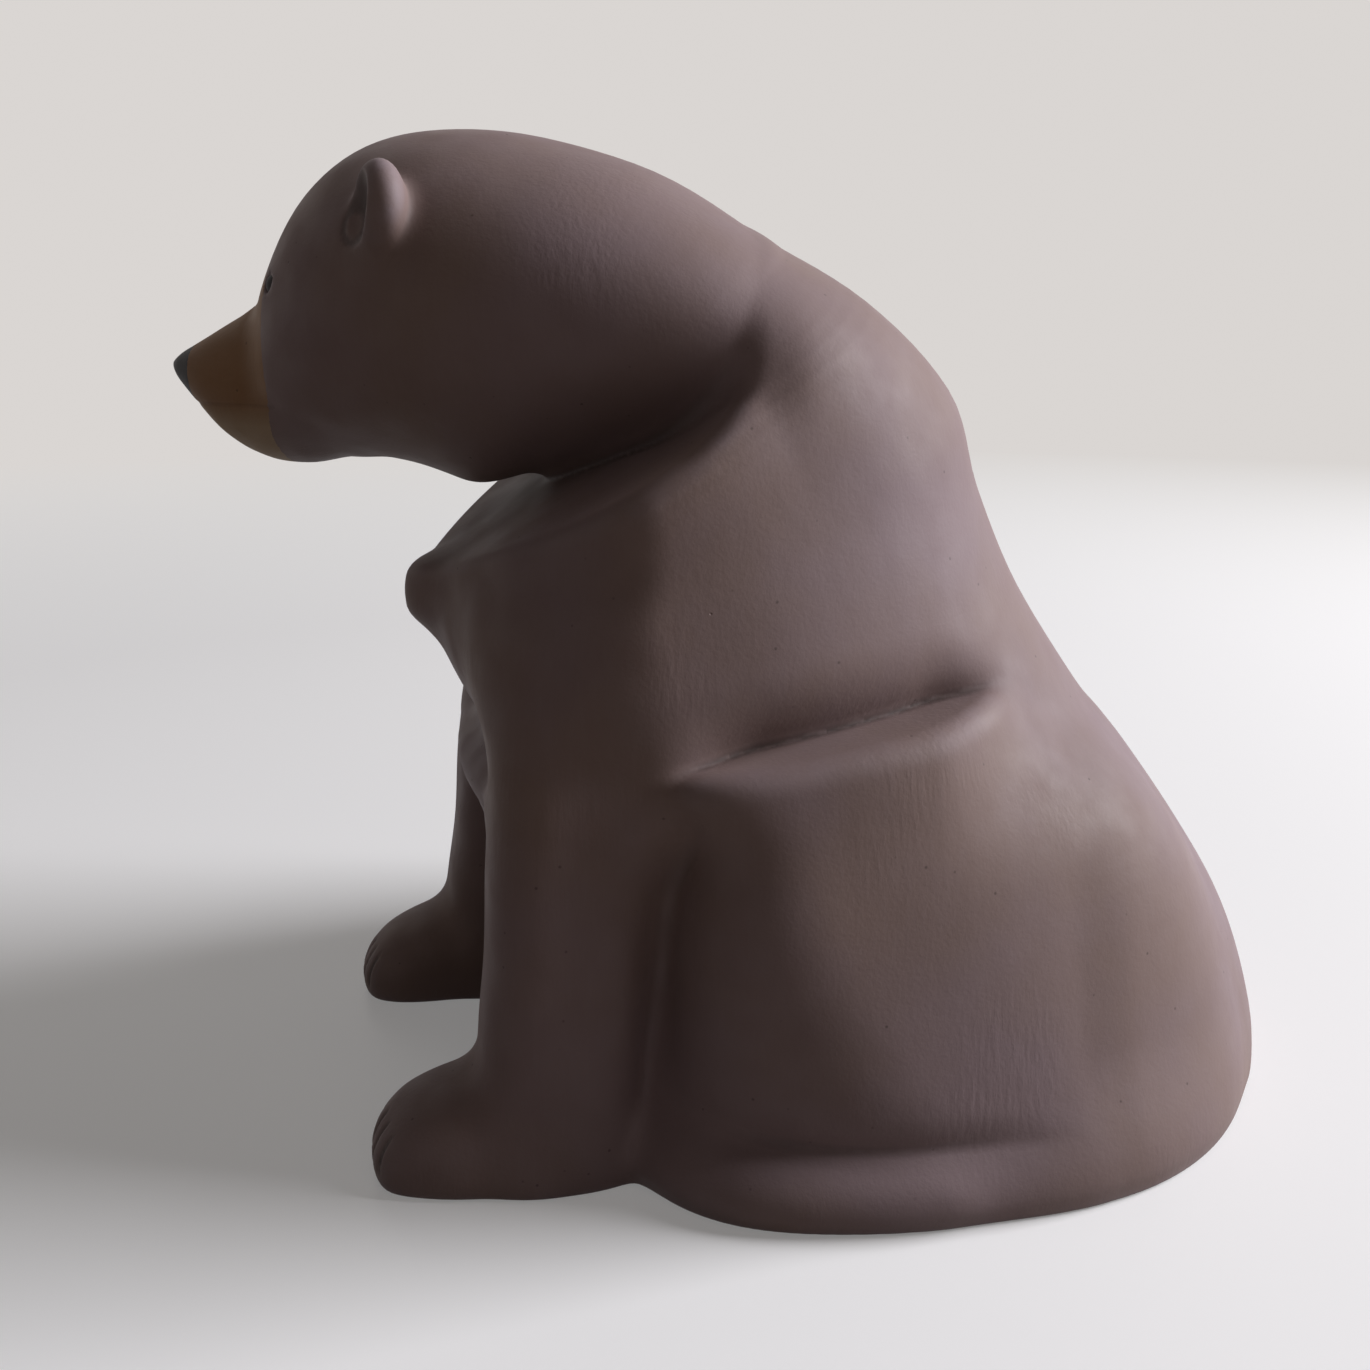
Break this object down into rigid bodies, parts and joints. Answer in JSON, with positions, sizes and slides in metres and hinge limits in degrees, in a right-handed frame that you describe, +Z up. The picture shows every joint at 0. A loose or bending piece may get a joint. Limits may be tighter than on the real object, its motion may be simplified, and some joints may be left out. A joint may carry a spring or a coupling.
{
  "type": "bear sculpture",
  "caption": "Seated bear ornament of hollow painted ceramic sections, pinned and bonded along their creases, with its head turned to the side.",
  "frame": {"origin": "on the table plane under the figure, on the middle plane of the body, about half way along it", "axes": "+Z up, the body faces -Y and its left side is +X"},
  "size_m": [0.248, 0.3308, 0.2825],
  "materials": {
    "brown_paint": "matte",
    "tan_paint": "matte",
    "black_paint": "satin",
    "bare_clay": "matte",
    "pin_wood": "matte"
  },
  "bodies": {
    "root": {"torso_shell": "brown_paint", "head_shell": "brown_paint", "muzzle": "tan_paint", "lower_jaw": "tan_paint", "nose": "black_paint", "eye_left": "black_paint", "eye_right": "black_paint", "ear_left": "brown_paint", "ear_right": "brown_paint", "foreleg_left": "brown_paint", "foreleg_right": "brown_paint", "haunch_left": "brown_paint", "haunch_right": "brown_paint", "hind_foot_left": "brown_paint", "hind_foot_right": "brown_paint", "base_plate": "bare_clay", "neck_sleeve": "bare_clay", "face_pins": "pin_wood", "ear_pins": "pin_wood", "foreleg_pins": "pin_wood", "haunch_pins": "pin_wood", "hind_foot_pins": "pin_wood"}
  },
  "joints": []
}
